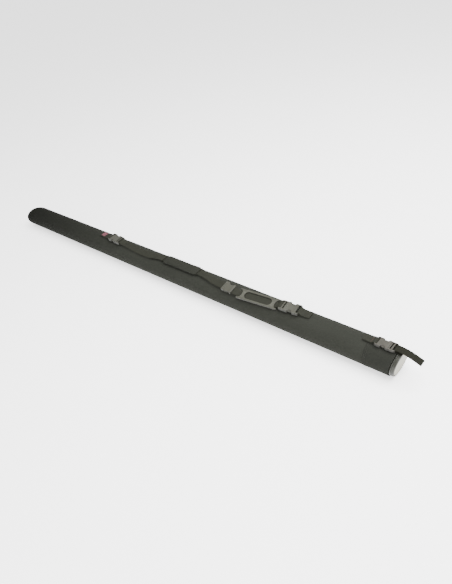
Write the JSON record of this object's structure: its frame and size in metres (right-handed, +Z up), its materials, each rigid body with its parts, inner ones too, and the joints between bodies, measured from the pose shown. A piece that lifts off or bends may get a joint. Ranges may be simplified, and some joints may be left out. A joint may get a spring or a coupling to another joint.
{
  "type": "pole carrying case",
  "caption": "Long rigid tube case with a woven cover, pull-off end cap held by a buckled strap, and a clip-on carrying strap with a grip pad, slider and padded sleeve.",
  "frame": {"origin": "centre of the whole bounding box at the height of the lowest facet of the cover, which rests on the floor", "axes": "+X along the tube towards the end cap, +Z up from the resting facet to the strap, +Y to the left when looking towards the cap"},
  "size_m": [1.3812, 0.0636, 0.0744],
  "materials": {
    "cover_fabric": "matt woven nylon",
    "binding_tape": "matt ribbed tape",
    "webbing": "matt ribbed webbing",
    "pad_fabric": "matt woven nylon over foam",
    "buckle_plastic": "satin moulded",
    "tube_plastic": "satin",
    "cap_plastic": "glossy moulded",
    "cap_face": "satin moulded",
    "foam": "closed-cell foam",
    "rivet_metal": "satin",
    "label": "woven"
  },
  "bodies": {
    "case": {"inner_tube": "tube_plastic", "tube_end_plug": "tube_plastic", "end_foam_bumper": "foam", "cover_sleeve": "cover_fabric", "cover_end_band": "cover_fabric", "hem_binding": "binding_tape", "end_panel": "cover_fabric", "end_piping": "binding_tape", "tab_1": "webbing", "tab_2": "webbing", "tab_3": "webbing", "woven_label": "label", "buckle_1_socket": "buckle_plastic", "buckle_2_socket": "buckle_plastic", "buckle_3_socket": "buckle_plastic"},
    "cap": {"end_cap": "cap_plastic", "cap_face_disc": "cap_face", "cap_foam_pad": "foam", "cap_strap": "webbing", "cap_rivet": "rivet_metal", "buckle_3_plug": "buckle_plastic"},
    "strap_front": {"strap_front": "webbing", "buckle_2_plug": "buckle_plastic"},
    "strap_rear": {"strap_rear": "webbing", "buckle_1_plug": "buckle_plastic"},
    "pad": {"strap_pad": "buckle_plastic"},
    "slider": {"strap_slider": "buckle_plastic"},
    "grip": {"grip_sleeve": "pad_fabric"},
    "prong_1a": {"buckle_1_prong_a": "buckle_plastic"},
    "prong_1b": {"buckle_1_prong_b": "buckle_plastic"},
    "prong_2a": {"buckle_2_prong_a": "buckle_plastic"},
    "prong_2b": {"buckle_2_prong_b": "buckle_plastic"},
    "prong_3a": {"buckle_3_prong_a": "buckle_plastic"},
    "prong_3b": {"buckle_3_prong_b": "buckle_plastic"}
  },
  "joints": [
    {"name": "cap_pull", "type": "slide", "parent": "case", "child": "cap", "axis": [1, 0, 0], "range_m": [0, 0.06]},
    {"name": "front_buckle_release", "type": "slide", "parent": "case", "child": "strap_front", "axis": [-0.9976, -0.0692, -0.0085], "range_m": [0, 0.018]},
    {"name": "rear_buckle_release", "type": "slide", "parent": "case", "child": "strap_rear", "axis": [0.9989, -0.0469, -0.0041], "range_m": [0, 0.018]},
    {"name": "pad_slide", "type": "slide", "parent": "strap_front", "child": "pad", "axis": [-0.9966, -0.0795, -0.0198], "range_m": [0, 0.005]},
    {"name": "slider_slide", "type": "slide", "parent": "strap_front", "child": "slider", "axis": [-0.9976, 0.0677, 0.0169], "range_m": [-0.004, 0.004]},
    {"name": "grip_slide", "type": "slide", "parent": "case", "child": "grip", "axis": [1, 0, 0], "range_m": [-0.004, 0.004]},
    {"name": "buckle_1_squeeze_a", "type": "hinge", "parent": "strap_rear", "child": "prong_1a", "pos_m": [-0.21439, 0.0061, 0.06983], "axis": [0, -0.0872, 0.9962], "range_deg": [0, 7], "stiffness_Nm_per_rad": 0.05},
    {"name": "buckle_1_squeeze_b", "type": "hinge", "parent": "strap_rear", "child": "prong_1b", "pos_m": [-0.21531, -0.01341, 0.06812], "axis": [0, 0.0872, -0.9962], "range_deg": [0, 7], "stiffness_Nm_per_rad": 0.05},
    {"name": "buckle_2_squeeze_a", "type": "hinge", "parent": "strap_front", "child": "prong_2a", "pos_m": [0.38003, -0.01406, 0.06771], "axis": [0, -0.1219, 0.9925], "range_deg": [0, 7], "stiffness_Nm_per_rad": 0.05},
    {"name": "buckle_2_squeeze_b", "type": "hinge", "parent": "strap_front", "child": "prong_2b", "pos_m": [0.37867, 0.00535, 0.07009], "axis": [0, 0.1219, -0.9925], "range_deg": [0, 7], "stiffness_Nm_per_rad": 0.05},
    {"name": "buckle_3_squeeze_a", "type": "hinge", "parent": "cap", "child": "prong_3a", "pos_m": [0.62266, 0.00843, 0.06753], "axis": [0, 0, 1], "range_deg": [0, 7], "stiffness_Nm_per_rad": 0.05},
    {"name": "buckle_3_squeeze_b", "type": "hinge", "parent": "cap", "child": "prong_3b", "pos_m": [0.62266, -0.00843, 0.06753], "axis": [0, 0, -1], "range_deg": [0, 7], "stiffness_Nm_per_rad": 0.05}
  ]
}
